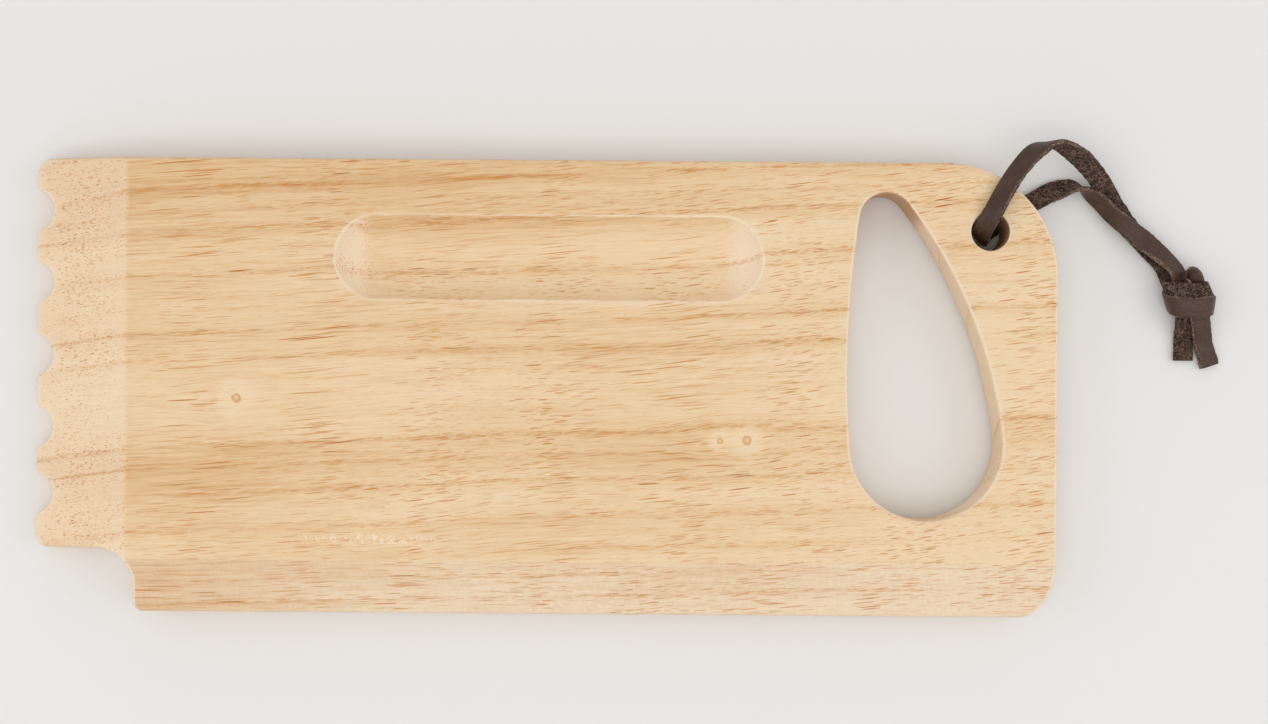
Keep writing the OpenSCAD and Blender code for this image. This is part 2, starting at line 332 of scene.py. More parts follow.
def board_mesh():
    """The whole board as one closed bmesh: the walls of its outline and holes, and both faces. Each
    point's edge_highlight says how strong a painted highlight it gets: most at the middle of an
    eased edge and, as a bell curve of the distance, at the groove's rim and the bevel's crest."""
    hole_turn = np.linspace(0, 2 * math.pi, HOLE_POINTS + 1)[:-1]
    round_hole = np.c_[np.cos(hole_turn), np.sin(hole_turn)]
    outlines = [
        (board_outline(), EDGE_EASE, 1),
        (opening_outline(), EDGE_EASE, -1),
        (np.c_[LACE_HOLE + LACE_HOLE_R * round_hole, round_hole], HOLE_EASE, -1),
    ]
    parts, backs, fronts, beside = [], [], [], []
    for outline, ease, side in outlines:
        rings = wall(outline, ease, side)
        # Painted highlight along an eased edge, strongest at its middle
        painted_light = np.repeat(np.sin(np.linspace(0, math.pi, EASE_STEPS + 1)), len(outline))
        quads = ring_faces(len(rings), len(outline), side)
        parts.append((rings.reshape(-1, 3), quads, np.tile(painted_light, 2)))
        backs.append(rings[0][:, :2])
        fronts.append(rings[-1][:, :2])
        beside.append(outline[:, :2] - side * (ease + EDGE_ROW) * outline[:, 2:])
    verts, tris = face(fronts, np.vstack([face_points(), *beside]), front)
    # Painted highlights along the groove's rim and the bevel's crest
    rim = (groove_distance(verts[:, 0], verts[:, 1]) - GROOVE_WIDTH / 2) / RIM_HIGHLIGHT
    crest = (verts[:, 0] - (BEVEL_LENGTH - END_X)) / CREST_HIGHLIGHT
    parts.append((verts, tris, 0.9 * np.exp(-(rim**2)) + 0.5 * np.exp(-(crest**2))))
    grid = lattice(np.arange(-END_X, END_X, BACK_STEP), np.arange(-EDGE_Y, EDGE_Y, BACK_STEP))
    verts, tris = face(backs, np.vstack([grid, *beside]), lambda x, y: np.zeros_like(x))
    parts.append((verts, tris[:, ::-1], np.zeros(len(verts))))
    bm = bmesh.new()
    eased = bm.verts.layers.float.new("edge_highlight")
    for verts, faces, painted_light in parts:
        made = [bm.verts.new(v) for v in verts]
        for vert, value in zip(made, painted_light):
            vert[eased] = value
        for f in faces:
            bm.faces.new([made[i] for i in f])
    bmesh.ops.remove_doubles(bm, verts=bm.verts, dist=2 * SAME_POINT)
    return bm


def add_object(name, mesh, material):
    """Puts a mesh into the scene as a piece of the object, with its finish."""
    obj = bpy.data.objects.new(name, mesh)
    bpy.context.scene.collection.objects.link(obj)
    mesh.materials.append(material)
    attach(obj, "root")
    return obj


def stave(bm, name, upper, material):
    """Cuts the board at the glue line and keeps one side, with a closed cut and sharp edges."""
    part = bm.copy()
    bmesh.ops.bisect_plane(part, geom=part.verts[:] + part.edges[:] + part.faces[:],
                           dist=SAME_POINT, plane_co=(0, GLUE_Y, 0), plane_no=(0, 1, 0),
                           clear_inner=upper, clear_outer=not upper)
    for f in part.faces:
        f.smooth = True
    rim = [e for e in part.edges if e.is_boundary]
    cap = bmesh.ops.edgeloop_fill(part, edges=rim)["faces"]
    for f in cap:
        f.smooth = False
    for e in rim:
        e.smooth = False
    bmesh.ops.recalc_face_normals(part, faces=part.faces)
    mesh = bpy.data.meshes.new(name)
    part.to_mesh(mesh)
    part.free()
    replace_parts(add_object(name, mesh, material), name)


# Leather lace: width and thickness, how much the tied knot squeezes it, how far from the knot's
# middle that ends and over what length it fades, and the height of the lace's middle where it lies
# under the board
LACE_WIDTH = 0.0065
LACE_THICK = 0.002
KNOT_SQUEEZE = 0.72
KNOT_REACH = 0.016
KNOT_FADE = 0.006
UNDER = -0.0013

# The lace's route from the lace hole's middle on the back face: a point on its centre line, then
# the direction across its width. The first and the last rows are the two tails.
TAIL_A = [
    ((0.0703, -0.0425, UNDER), (1, 0, 0)),
    ((0.0703, -0.035, UNDER + 0.0002), (1, 0, 0)),
]
RUN = [
    ((0.0632, -0.0098, -0.0006), (0.7, 0.7, 0)),
    ((0.0573, -0.0034, UNDER), (0.72, 0.68, 0)),
    ((0.0513, 0.0032, -0.0010), (0.78, 0.62, 0)),
    ((0.0458, 0.0104, 0.0008), (0.8, 0.55, 0.1)),
    ((0.0386, 0.0197, 0.0062), (0.75, 0.55, 0.25)),
    ((0.0304, 0.0266, 0.0115), (0.6, 0.5, 0.6)),
    ((0.0222, 0.0300, 0.0155), (0.25, 0.1, 0.93)),
    ((0.0147, 0.0272, 0.0188), (0.62, -0.52, 0.68)),
    ((0.0086, 0.0208, THICK + 0.0028), (0.72, -0.5, 0.6)),
    ((0.0037, 0.0134, THICK + 0.0035), (0.74, -0.44, 0.6)),
    ((-0.0004, 0.0053, THICK + 0.0028), (0.8, -0.38, 0.5)),
    ((-0.0025, -0.0002, THICK - 0.0035), (0.88, -0.48, 0.1)),
    ((-0.0016, -0.0014, THICK / 2), (0.7, -0.7, 0)),
    ((-0.001, -0.0008, 0.0034), (0.6, -0.8, 0)),
    ((0.003, 0.0022, UNDER + 0.0002), (0.5, -0.8, 0)),
    ((0.0085, 0.0056, UNDER), (0.5, -0.8, 0)),
    ((0.018, 0.0116, UNDER), (0.5, -0.8, 0)),
    ((0.026, 0.0156, -0.0006), (0.25, -0.9, 0.3)),
    ((0.0328, 0.0166, 0.0014), (0.1, -0.4, 0.9)),
    ((0.0386, 0.0132, 0.0022), (0.42, 0.34, 0.84)),
    ((0.0446, 0.0073, 0.0026), (0.52, 0.52, 0.66)),
    ((0.0526, 0.0008, 0.0026), (0.62, 0.62, 0.15)),
    ((0.0606, -0.0056, 0.0033), (0.62, 0.56, -0.42)),
    ((0.0668, -0.0120, 0.0036), (0.68, 0.5, -0.55)),
]
TAIL_B = [
    ((0.0772, -0.0367, -0.0004), (1, 0.25, -0.25)),
    ((0.0795, -0.0443, UNDER + 0.0004), (1, 0.2, -0.25)),
]

# The knot, from its own middle: both ends pass down, fold behind, go once round the knot, come
# over its top and down through it. Strand A lies inside, and its turns run from its tail upwards.
KNOT = (0.0713, -0.0213, 0.00335)
KNOT_A = [
    ((-0.0013, -0.0080, -0.0016), (1, 0, 0)),
    ((-0.0014, -0.0030, -0.0002), (1, 0, 0)),
    ((-0.0018, 0.0026, 0.0002), (0.9, 0, 0.3)),
    ((-0.0020, 0.0054, -0.0002), (0.4, 0, 0.9)),
    ((-0.0021, 0.0071, 0.0000), (0.2, -0.2, 0.95)),
    ((-0.0014, 0.0083, 0.0004), (0.35, 0.1, 0.93)),
    ((0.0001, 0.0079, 0.0010), (0.75, 0.3, 0.6)),
    ((0.0012, 0.0059, 0.0006), (0.88, 0.1, 0.48)),
    ((0.0013, 0.0047, -0.0024), (0.75, -0.5, 0.4)),
    ((-0.0017, 0.0050, -0.0036), (0.5, -0.8, 0)),
    ((-0.0057, 0.0042, -0.0032), (0.3, -0.95, 0)),
    ((-0.0078, 0.0032, -0.0016), (0.25, -0.95, 0)),
    ((-0.0082, 0.0024, 0.0008), (0.3, -0.93, 0.1)),
    ((-0.0064, 0.0022, 0.0028), (0.15, -0.93, 0.25)),
    ((-0.0028, 0.0019, 0.0037), (0, -0.93, 0.36)),
    ((0.0016, 0.0019, 0.0037), (0, -0.93, 0.36)),
    ((0.0053, 0.0021, 0.0028), (0.2, -0.93, 0.25)),
    ((0.0067, 0.0024, 0.0008), (0.36, -0.9, 0.1)),
    ((0.0062, 0.0017, -0.0016), (0.3, -0.93, 0)),
    ((0.0041, 0.0000, -0.0031), (0.1, -1, 0)),
    ((0.0013, -0.0024, -0.0032), (0.4, -0.9, 0.4)),
    ((-0.0013, -0.0034, -0.0024), (0.7, -0.3, 0.5)),
    ((-0.0031, -0.0012, -0.0019), (0.95, 0.2, 0)),
    ((-0.0047, 0.0028, -0.0020), (0.85, 0.5, 0)),
    ((-0.0064, 0.0074, -0.0028), (0.72, 0.68, 0)),
]
KNOT_B = [
    ((-0.0026, 0.0046, -0.0004), (0.85, 0.45, 0)),
    ((-0.0014, 0.0000, -0.0006), (0.95, 0.25, 0)),
    ((-0.0006, -0.0038, -0.0015), (0.6, -0.5, 0.6)),
    ((0.0019, -0.0044, -0.0040), (0.2, -1, 0.25)),
    ((0.0050, -0.0032, -0.0042), (0, -1, 0)),
    ((0.0070, -0.0026, -0.0020), (-0.1, -0.97, 0)),
    ((0.0076, -0.0021, 0.0010), (-0.1, -0.97, -0.1)),
    ((0.0058, -0.0026, 0.0038), (-0.12, -0.97, -0.15)),
    ((0.0019, -0.0033, 0.0050), (-0.05, -0.97, -0.2)),
    ((-0.0023, -0.0033, 0.0049), (0.06, -0.97, -0.2)),
    ((-0.0057, -0.0029, 0.0036), (0.22, -0.95, -0.12)),
    ((-0.0074, -0.0020, 0.0010), (0.35, -0.92, 0)),
    ((-0.0075, -0.0008, -0.0020), (0.25, -0.95, 0)),
    ((-0.0057, 0.0010, -0.0044), (0.25, -0.97, 0)),
    ((-0.0023, 0.0032, -0.0050), (0.6, -0.8, 0)),
    ((0.0013, 0.0050, -0.0044), (0.85, -0.5, 0)),
    ((0.0027, 0.0058, -0.0020), (1, -0.1, 0.1)),
    ((0.0026, 0.0047, 0.0006), (1, 0, 0)),
    ((0.0025, 0.0018, 0.0020), (1, 0, 0)),
    ((0.0027, -0.0030, 0.0020), (1, 0.05, -0.05)),
    ((0.0038, -0.0086, 0.0002), (1, 0.2, -0.2)),
]


def lace_route():
    """All rows of the route in the frame, as points and as directions across the lace."""
    hole = np.array([*LACE_HOLE, 0])
    knot = hole + KNOT
    parts = ((TAIL_A, hole), (KNOT_A, knot), (RUN, hole), (KNOT_B, knot), (TAIL_B, hole))
    rows = [(origin + point, side) for part, origin in parts for point, side in part]
    return np.array([r[0] for r in rows]), np.array([r[1] for r in rows], float)


def smooth_curve(rows, knots, at):
    """Cubic Hermite curve through rows at their knots, with each tangent the slope between its
    neighbours, worked out at the given places."""
    slope = np.gradient(rows, knots, axis=0)
    k = np.clip(np.searchsorted(knots, at, side="right") - 1, 0, len(knots) - 2)
    span = (knots[k + 1] - knots[k])[:, None]
    t = (at - knots[k])[:, None] / span
    a, b = rows[k], rows[k + 1]
    return (a * (1 + 2 * t) * (1 - t) ** 2 + slope[k] * span * t * (1 - t) ** 2
            + b * t * t * (3 - 2 * t) + slope[k + 1] * span * t * t * (t - 1))


def unit(rows):
    """Rows scaled to a length of one."""
    return rows / np.linalg.norm(rows, axis=-1, keepdims=True)


def ripple(rng, shape, reach):
    """Smooth noise from -1 to 1: random numbers averaged over so many neighbours each way."""
    noise = rng.standard_normal(shape)
    for axis, n in enumerate(reach):
        if n > 1:
            window = np.hanning(n + 2)[1:-1]
            noise = np.apply_along_axis(lambda row: np.convolve(row, window, "same"), axis, noise)
    return noise / np.abs(noise).max()


# The lace's mesh: the step of its rings and of the path it is declared with, the points of the
# curve that it is measured on, and the points across a face and a cut edge
LACE_RING_STEP = 0.0005
CURVE_POINTS = 4000
FACE_POINTS = 11
EDGE_POINTS = 3

# How ragged the lace is: its width as a share and over how many rings it changes, the flesh and the
# grain face through it, a rough and a smooth side across it, and how far one tuft reaches
WIDTH_CHANGE = 0.02
WIDTH_RINGS = 41
FLESH_FUZZ = 0.00013
GRAIN_FUZZ = 0.00002
ROUGH_FRAY = 0.0003
GRAIN_FRAY = 0.00003
TUFT = (3, 2)


def lace_section():
    """One section of the strip, as (across, through) from -1 to 1, and whether each point is on the
    grain face (1), a cut edge (0) or the flesh face (-1). Both faces are bowed a little by the
    square of the way across, and the flesh face is the wider one."""
    across = np.linspace(-1, 1, FACE_POINTS)
    grain = np.c_[0.92 * across[::-1], 1 - 0.12 * across**2, np.ones(FACE_POINTS)]
    flesh = np.c_[1.03 * across, -(1 - 0.05 * across**2), -np.ones(FACE_POINTS)]
    through = np.linspace(0.6, -0.6, EDGE_POINTS)
    left = np.c_[0.08 * through - 1, through, np.zeros(EDGE_POINTS)]
    right = np.c_[-left[:, 0], through[::-1], np.zeros(EDGE_POINTS)]
    return np.vstack([grain, left, flesh, right])


def leather_lace(material):
    """The whole lace as one strip: its section carried along the route, squeezed in the knot, with
    a ragged flesh side and edges, and cut square at both tails."""
    points, sides = lace_route()
    knots = np.r_[0, np.cumsum(np.linalg.norm(np.diff(points, axis=0), axis=1))]
    fine = np.linspace(0, knots[-1], CURVE_POINTS)
    line = smooth_curve(points, knots, fine)
    run = np.r_[0, np.cumsum(np.linalg.norm(np.diff(line, axis=0), axis=1))]
    count = round(run[-1] / LACE_RING_STEP) + 1
    at = np.interp(np.linspace(0, run[-1], count), run, fine)
    centre = smooth_curve(points, knots, at)
    along = unit(np.gradient(centre, axis=0))
    side = smooth_curve(unit(sides), knots, at)
    side = unit(side - np.sum(side * along, 1, keepdims=True) * along)
    up = np.cross(along, side)
    section = lace_section()
    around = len(section)
    rng = np.random.default_rng(7)
    middle = np.array([*LACE_HOLE, 0]) + KNOT
    apart = np.linalg.norm(centre - middle, axis=1)
    near = np.clip((KNOT_REACH - apart) / KNOT_FADE, 0, 1)
    thick = LACE_THICK / 2 * (1 - (1 - KNOT_SQUEEZE) * near * near * (3 - 2 * near))
    change = ripple(rng, (count, 1), (WIDTH_RINGS, 1))[:, 0]
    width = LACE_WIDTH / 2 * (1 + WIDTH_CHANGE * change)
    fuzz = np.where(section[:, 2] < 0, FLESH_FUZZ, GRAIN_FUZZ) * ripple(rng, (count, around), TUFT)
    fray = np.where(section[:, 2] <= 0, ROUGH_FRAY, GRAIN_FRAY) * ripple(rng, (count, around), TUFT)
    through = section[:, 1] * thick[:, None] + fuzz
    across = section[:, 0] * width[:, None] + fray * np.abs(section[:, 0])
    verts = centre[:, None] + across[..., None] * side[:, None] + through[..., None] * up[:, None]
    quads = ring_faces(count, around, 1)
    caps = [list(range(around)), list(range((count - 1) * around, count * around))[::-1]]
    mesh = bpy.data.meshes.new("leather_lace")
    mesh.from_pydata(verts.reshape(-1, 3).tolist(), [], quads.tolist() + caps)
    face_side = mesh.attributes.new("face_side", "FLOAT", "POINT")
    face_side.data.foreach_set("value", np.tile(section[:, 2], count).astype(np.float32))
    strip_place = mesh.attributes.new("strip_place", "FLOAT_VECTOR", "POINT")
    rows = np.linspace(0, run[-1], count)[:, None]
    places = np.stack(np.broadcast_arrays(rows, across, through), -1)
    strip_place.data.foreach_set("vector", places.astype(np.float32).ravel())
    bm = bmesh.new()
    bm.from_mesh(mesh)
    bmesh.ops.recalc_face_normals(bm, faces=bm.faces)
    for f in bm.faces:
        f.smooth = len(f.verts) == 4
    bm.to_mesh(mesh)
    bm.free()
    obj = add_object("lace", mesh, material)
    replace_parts(obj, "leather_lace")


def linear(code):
    """An sRGB hex colour as the linear one that shaders use."""
    srgb = np.array([int(code[i:i + 2], 16) / 255 for i in (1, 3, 5)])
    return (*np.where(srgb <= 0.04045, srgb / 12.92, ((srgb + 0.055) / 1.055) ** 2.4), 1.0)


# Blender's names of the nodes that are used most
MATHS, VECTOR, NOISE = "ShaderNodeMath", "ShaderNodeVectorMath", "ShaderNodeTexNoise"
SPAN, MIX = "ShaderNodeMapRange", "ShaderNodeMix"
JOIN, SPLIT = "ShaderNodeCombineXYZ", "ShaderNodeSeparateXYZ"

# Settings that are used most: sums, a distance, three outputs at once, a smooth span and a mix of
# colours
PLUS, MINUS, TIMES, TIMES_PLUS, LARGER = (
    {"operation": name} for name in ("ADD", "SUBTRACT", "MULTIPLY", "MULTIPLY_ADD", "MAXIMUM"))
LENGTH = {"operation": "LENGTH", "output": "Value"}
ALL_THREE = {"output": slice(3)}
SMOOTH = {"interpolation_type": "SMOOTHSTEP"}
COLOURS = {"data_type": "RGBA", "output": 2}


def node(tree, kind, inputs, output=0, **settings):
    """Adds a node with its settings, fills or links its inputs, given in their order or by name,
    and gives one of its outputs."""
    made = tree.nodes.new(kind)
    for key, value in settings.items():
        setattr(made, key, value)
    for key, value in inputs.items() if isinstance(inputs, dict) else enumerate(inputs):
        if isinstance(value, bpy.types.NodeSocket):
            tree.links.new(value, made.inputs[key])
        else:
            made.inputs[key].default_value = value
    return made.outputs[output]


def new_material(name):
    """An empty node material with its Principled shader and output."""
    material = bpy.data.materials.new(name)
    material.use_nodes = True
    tree = material.node_tree
    tree.nodes.clear()
    shader = tree.nodes.new("ShaderNodeBsdfPrincipled")
    output = tree.nodes.new("ShaderNodeOutputMaterial")
    tree.links.new(shader.outputs["BSDF"], output.inputs["Surface"])
    return material, tree, shader


# Rubberwood, in millimetres. At x, the fibres have dipped under the front face by x times the
# first number of FIBRE_DIP plus x squared times the second, and climbed by FIBRE_CLIMB times the
# square of the way from CLIMB_START. The growth rings lean over by RING_LEAN.
FIBRE_DIP = (0.042, 0.00006)
FIBRE_CLIMB = 0.00015
CLIMB_START = -100.0
RING_LEAN = 0.42

# Noises that are drawn out along the fibres: how often they change in a millimetre along and across
# them, their detail and their roughness
FIGURE = [
    (0.008, 0.05, 2.0, 0.5),  # clouds
    (0.009, 0.28, 3.0, 0.6),  # bands
    (0.022, 1.4, 3.0, 0.8),  # streaks
    (0.045, 2.6, 2.0, 0.6),  # threads
    (0.02, 0.10, 4.0, 0.7),  # breaks in the ring lines
    (0.008, 0.09, 3.0, 0.65),  # crowds of vessels
]

# Layers of vessels: length, pitch, width, how few there are, and colour. They are drawn a little
# wider than real ones, so that they show.
VESSELS = [
    (40.0, 0.44, 0.24, -0.44, "#CC8430"),
    (40.0, 0.66, 0.31, -0.24, "#C07320"),
    (34.0, 1.10, 0.40, 0.08, "#AC641A"),
    (30.0, 1.85, 0.46, 0.36, "#7A4618"),
]

# Middle of the strip of torn grain, and how far it reaches each way
TORN_GRAIN = (-58, -51.5, THICK * MM)
TORN_REACH = (34, 2.6, 4)

# Ring lines of each stave on its front face, above the board's middle at x = 0, the tones there,
# where 0.5 is neither dark nor pale, and pin knots: their place, the reach and the strength of the
# bulge, and their radius
WIDE_RINGS = [-92, -79, -67, -54.5, -44, -31.5, -23, -16.5, 0, 13.5, 22.5, 31, 42.5, 58, 64, 71, 84,
              100]
WIDE_TONES = [
    (-58, 0.42), (-50, 0.48), (-44, 0.56), (-37, 0.46), (-31, 0.54), (-23, 0.64), (-16.5, 0.60),
    (-12, 0.44), (0, 0.38), (9, 0.44), (13.5, 0.57), (18, 0.48), (22.5, 0.58), (28, 0.44),
    (36, 0.42), (42.5, 0.54), (48, 0.42), (53, 0.44), (58, 0.60), (64, 0.52), (71, 0.70),
    (78, 0.60),
]
NARROW_RINGS = [-110, -92, -81, -70.5, -63, -54, -40]
NARROW_TONES = [(-80, 0.5), (-70, 0.55), (-60, 0.5)]
PIN_KNOTS = [
    (-103.1, -4.5, 12, 0.45, 1.8),
    (59.3, -17.8, 8, 0.3, 1.2),
    (68.2, -17.5, 14, 0.4, 1.8),
]


def pin_knots(tree, place, knots):
    """What the pin knots do to the wood: how far they push the fibres aside, which is the distance
    from their line times a smooth fall, how brown their ragged dot is, and a pale halo round it."""
    x, y, _ = node(tree, SPLIT, (place,), **ALL_THREE)
    ragged = node(tree, NOISE, {"Vector": place, "Scale": 0.7, "Detail": 2.0})
    ragged = node(tree, MATHS, (ragged, -0.5), **PLUS)
    push, dot, halo = 0.0, 0.0, 0.0
    for knot_x, knot_y, reach, bulge, size in knots:
        dx = node(tree, MATHS, (x, knot_x), **MINUS)
        dy = node(tree, MATHS, (y, knot_y), **MINUS)
        away = node(tree, JOIN, (dx, dy))
        far = node(tree, VECTOR, (away, (1 / (2.6 * reach), 1 / reach, 0)), **TIMES)
        far = node(tree, VECTOR, (far,), **LENGTH)
        near = node(tree, SPAN, (far, 0.0, 1.0, -bulge, 0.0), **SMOOTH)
        push = node(tree, MATHS, (dy, near, push), **TIMES_PLUS)
        far = node(tree, VECTOR, (away,), **LENGTH)
        far = node(tree, MATHS, (ragged, 0.9, far), **TIMES_PLUS)
        near = node(tree, SPAN, (far, 0.75 * size, size, 1.0, 0.0), **SMOOTH)
        eye = node(tree, SPAN, (far, 0.2 * size, 0.7 * size, 0.35, 1.0), **SMOOTH)
        near = node(tree, MATHS, (near, eye), **TIMES)
        dot = node(tree, MATHS, (near, dot), **LARGER)
        near = node(tree, SPAN, (far, size, 5 * size, 1.0, 0.0), **SMOOTH)
        halo = node(tree, MATHS, (near, halo), **LARGER)
    return push, dot, halo


def groove_rim_highlight(tree, place):
    """A painted highlight round the rim of the finger groove, a straight slot with round ends: a
    band of the distance from its edge, near the front face, broken up in places."""
    x, y, z = node(tree, SPLIT, (place,), **ALL_THREE)
    dx = node(tree, MATHS, (x, -MM * GROOVE[0]), **PLUS)
    dx = node(tree, MATHS, (dx,), operation="ABSOLUTE")
    dx = node(tree, MATHS, (dx, MM / 2 * (GROOVE_WIDTH - GROOVE_LENGTH)), **PLUS)
    dx = node(tree, MATHS, (dx, 0.0), **LARGER)
    dy = node(tree, MATHS, (y, -MM * GROOVE[1]), **PLUS)
    far = node(tree, JOIN, (dx, dy))
    far = node(tree, VECTOR, (far,), **LENGTH)
    far = node(tree, MATHS, (far, MM / 2 * GROOVE_WIDTH), **MINUS)
    far = node(tree, MATHS, (far,), operation="ABSOLUTE")
    rim = node(tree, SPAN, (far, 0.05, 0.5, 0.8, 0.0))
    top = node(tree, SPAN, (z, MM * THICK - 1.0, MM * THICK - 0.5, 0.0, 1.0))
    rim = node(tree, MATHS, (rim, top), **TIMES)
    lighter_marks = node(tree, NOISE, {"Vector": place, "Scale": 0.06, "Detail": 3.0})
    lighter_marks = node(tree, SPAN, (lighter_marks, 0.38, 0.62, 0.1, 0.8))
    return node(tree, MATHS, (rim, lighter_marks), **TIMES)


def vessels(tree, fibre, offset, crowd, colour):
    """Draws the vessels over a colour. Each is a cell, long and thin along the fibres, which shows
    if the crowd is larger than its chance. Gives the colour and how open the wood is."""
    opened = 0.0
    for length, pitch, width, few, tint in VESSELS:
        stretch = (1 / length, 1 / pitch, 1 / pitch)
        cell = node(tree, VECTOR, (fibre, stretch, offset), **TIMES_PLUS)
        cells = {"Vector": cell, "Scale": 1.0}
        away, dice = node(tree, "ShaderNodeTexVoronoi", cells, output=slice(2))
        chance, girth, shade = node(tree, "ShaderNodeSeparateColor", (dice,), **ALL_THREE)
        thin, thick = 0.32 * width / pitch, 0.68 * width / pitch
        size = node(tree, SPAN, (girth, 0.0, 1.0, thin, thick))
        body = node(tree, MATHS, (away, size), operation="DIVIDE")
        body = node(tree, SPAN, (body, 0.75, 1.05, 1.0, 0.0), **SMOOTH)
        there = node(tree, MATHS, (crowd, chance), **MINUS)
        there = node(tree, SPAN, (there, few, few + 0.35, 0.0, 1.0))
        there = node(tree, MATHS, (there, body), **TIMES, use_clamp=True)
        strength = node(tree, SPAN, (shade, 0.0, 1.0, 0.5, 1.0))
        there = node(tree, MATHS, (there, strength), **TIMES)
        colour = node(tree, MIX, {0: there, 6: colour, 7: linear(tint)}, **COLOURS)
        opened = node(tree, MATHS, (there, opened), **LARGER)
    return colour, opened


def torn_grain(tree, place):
    """Where planing tore the grain: chips in a short strip beside the glue line."""
    torn = node(tree, VECTOR, (place, TORN_GRAIN), **MINUS)
    shrink = tuple(1 / reach for reach in TORN_REACH)
    torn = node(tree, VECTOR, (torn, shrink), **TIMES)
    torn = node(tree, VECTOR, (torn,), **LENGTH)
    torn = node(tree, SPAN, (torn, 0.4, 1.0, 1.0, 0.0))
    chips = node(tree, VECTOR, (place, (1.1, 0.8, 0.8)), **TIMES)
    chips = node(tree, NOISE, {"Vector": chips, "Scale": 1.0, "Detail": 3.0, "Roughness": 0.7})
    chips = node(tree, SPAN, (chips, 0.5, 0.62, 0.0, 0.8))
    return node(tree, MATHS, (torn, chips), **TIMES)


def rubberwood(name, offset, rises, rings, tones, shades, fleck, knots):
    """Rubberwood, planed and sanded, without a finish. Its fibres run along X, climb, and dip under
    the front face, so that its vessels, thin tubes along the fibres, are cut open as short brown
    lines there, as dots on steep cuts, and as long lines on the edges. The growth rings show as
    lines at the given heights, and the wood between them is darker or paler as the tones say. The
    rises are the slopes of the fibres and the rings along X, the shades are the light, the middle
    and the dark wood, and fleck is how much the rays show. A cut across the fibres is paler, partly
    as cut wood is and partly as painted sheen and light. Eased edges, the groove's rim and the
    bevel's crest get a painted highlight, and the lace hole's wall painted shade."""
    material, tree, shader = new_material(name)
    place = node(tree, "ShaderNodeTexCoord", (), output="Object")
    place = node(tree, VECTOR, {0: place, "Scale": MM}, operation="SCALE")
    x, y, z = node(tree, SPLIT, (place,), **ALL_THREE)
    # The fibres wander by up to 2.5 mm, and part round a pin knot
    wander = node(tree, VECTOR, (place, (0.008, 0.017, 0.03), offset), **TIMES_PLUS)
    wander = node(tree, NOISE, {"Vector": wander, "Scale": 1.0, "Detail": 1.0}, output="Color")
    wander = node(tree, VECTOR, (wander, (0, 5, 4), (0, -2.5, -2)), **TIMES_PLUS)
    push, dot, halo = pin_knots(tree, place, knots) if knots else (0.0, 0.0, 0.0)
    across = node(tree, MATHS, (x, -rises[0], y), **TIMES_PLUS)
    across = node(tree, MATHS, (across, push), **PLUS)
    climb = node(tree, MATHS, (x, -CLIMB_START), **PLUS)
    climb = node(tree, MATHS, (climb, climb), **TIMES)
    across = node(tree, MATHS, (climb, -FIBRE_CLIMB, across), **TIMES_PLUS)
    dip = node(tree, MATHS, (x, -FIBRE_DIP[1], -FIBRE_DIP[0]), **TIMES_PLUS)
    deep = node(tree, MATHS, (x, dip, z), **TIMES_PLUS)
    fibre = node(tree, JOIN, (x, across, deep))
    fibre = node(tree, VECTOR, (fibre, wander), **PLUS)
    _, across, deep = node(tree, SPLIT, (fibre,), **ALL_THREE)
    # Layers of growth: height is where a layer meets the front face, and the figure follows it
    height = node(tree, MATHS, (z, -RING_LEAN, across), **TIMES_PLUS)
    height = node(tree, MATHS, (x, rises[0] - rises[1], height), **TIMES_PLUS)
    height = node(tree, MATHS, (climb, FIBRE_CLIMB, height), **TIMES_PLUS)
    height = node(tree, MATHS, (height, RING_LEAN * THICK * MM), **PLUS)
    slow = node(tree, MATHS, (deep, 0.3), **TIMES)
    layer = node(tree, JOIN, (x, height, slow))
    # One curve turns each ring line's height into a whole number, the other holds the tones
    low, high = rings[0], rings[-1]
    last = len(rings) - 1
    curves = []
    numbers = [(at, i / last) for i, at in enumerate(rings)]
    for spots in (numbers, [(low, 0.5), *tones, (high, 0.5)]):
        made = tree.nodes.new("ShaderNodeFloatCurve")
        points = made.mapping.curves[0].points
        for at, value in spots[1:-1]:
            points.new((at - low) / (high - low), value)
        for point, (at, value) in zip(points, spots):
            point.location = ((at - low) / (high - low), value)
            point.handle_type = "VECTOR"
        made.mapping.update()
        share = node(tree, SPAN, (height, low, high, 0.0, 1.0))
        tree.links.new(share, made.inputs["Value"])
        curves.append(made.outputs[0])
    number, tone = curves
    figures = []
    for along, athwart, detail, rough in FIGURE:
        at = node(tree, VECTOR, (layer, (along, athwart, athwart), offset), **TIMES_PLUS)
        noise = {"Vector": at, "Scale": 1.0, "Detail": detail, "Roughness": rough}
        figures.append(node(tree, NOISE, noise))
    cloud, band, streak, thread, broken, crowd = figures
    hair = node(tree, VECTOR, (fibre, (0.16, 4.5, 4.5)), **TIMES)
    hair = node(tree, NOISE, {"Vector": hair, "Scale": 1.0, "Detail": 2.0, "Roughness": 0.6})
    thread = node(tree, SPAN, (thread, 0.53, 0.72, 0.0, 1.0))
    # The wood darkens towards the end of each ring, and ring lines break up along their length
    turns = node(tree, MATHS, (number, float(last)), **TIMES)
    turns = node(tree, MATHS, (streak, 0.16, turns), **TIMES_PLUS)
    turns = node(tree, MATHS, (turns, -0.08), **PLUS)
    late = node(tree, MATHS, (turns,), operation="FRACT")
    late = node(tree, SPAN, (late, 0.55, 1.0, 0.0, 1.0), **SMOOTH)
    near = node(tree, MATHS, (turns, 0.5), operation="PINGPONG")
    near = node(tree, SPAN, (near, 0.01, 0.13, 1.0, 0.0), **SMOOTH)
    broken = node(tree, SPAN, (broken, 0.36, 0.60, 0.0, 1.0))
    near = node(tree, MATHS, (near, broken), **TIMES)
    strong = node(tree, SPAN, (tone, 0.38, 0.66, 0.0, 1.0))
    near = node(tree, MATHS, (near, strong), **TIMES)
    line = node(tree, MATHS, (near, 0.30, hair), **TIMES_PLUS)
    line = node(tree, SPAN, (line, 0.62, 0.78, 0.0, 0.85))
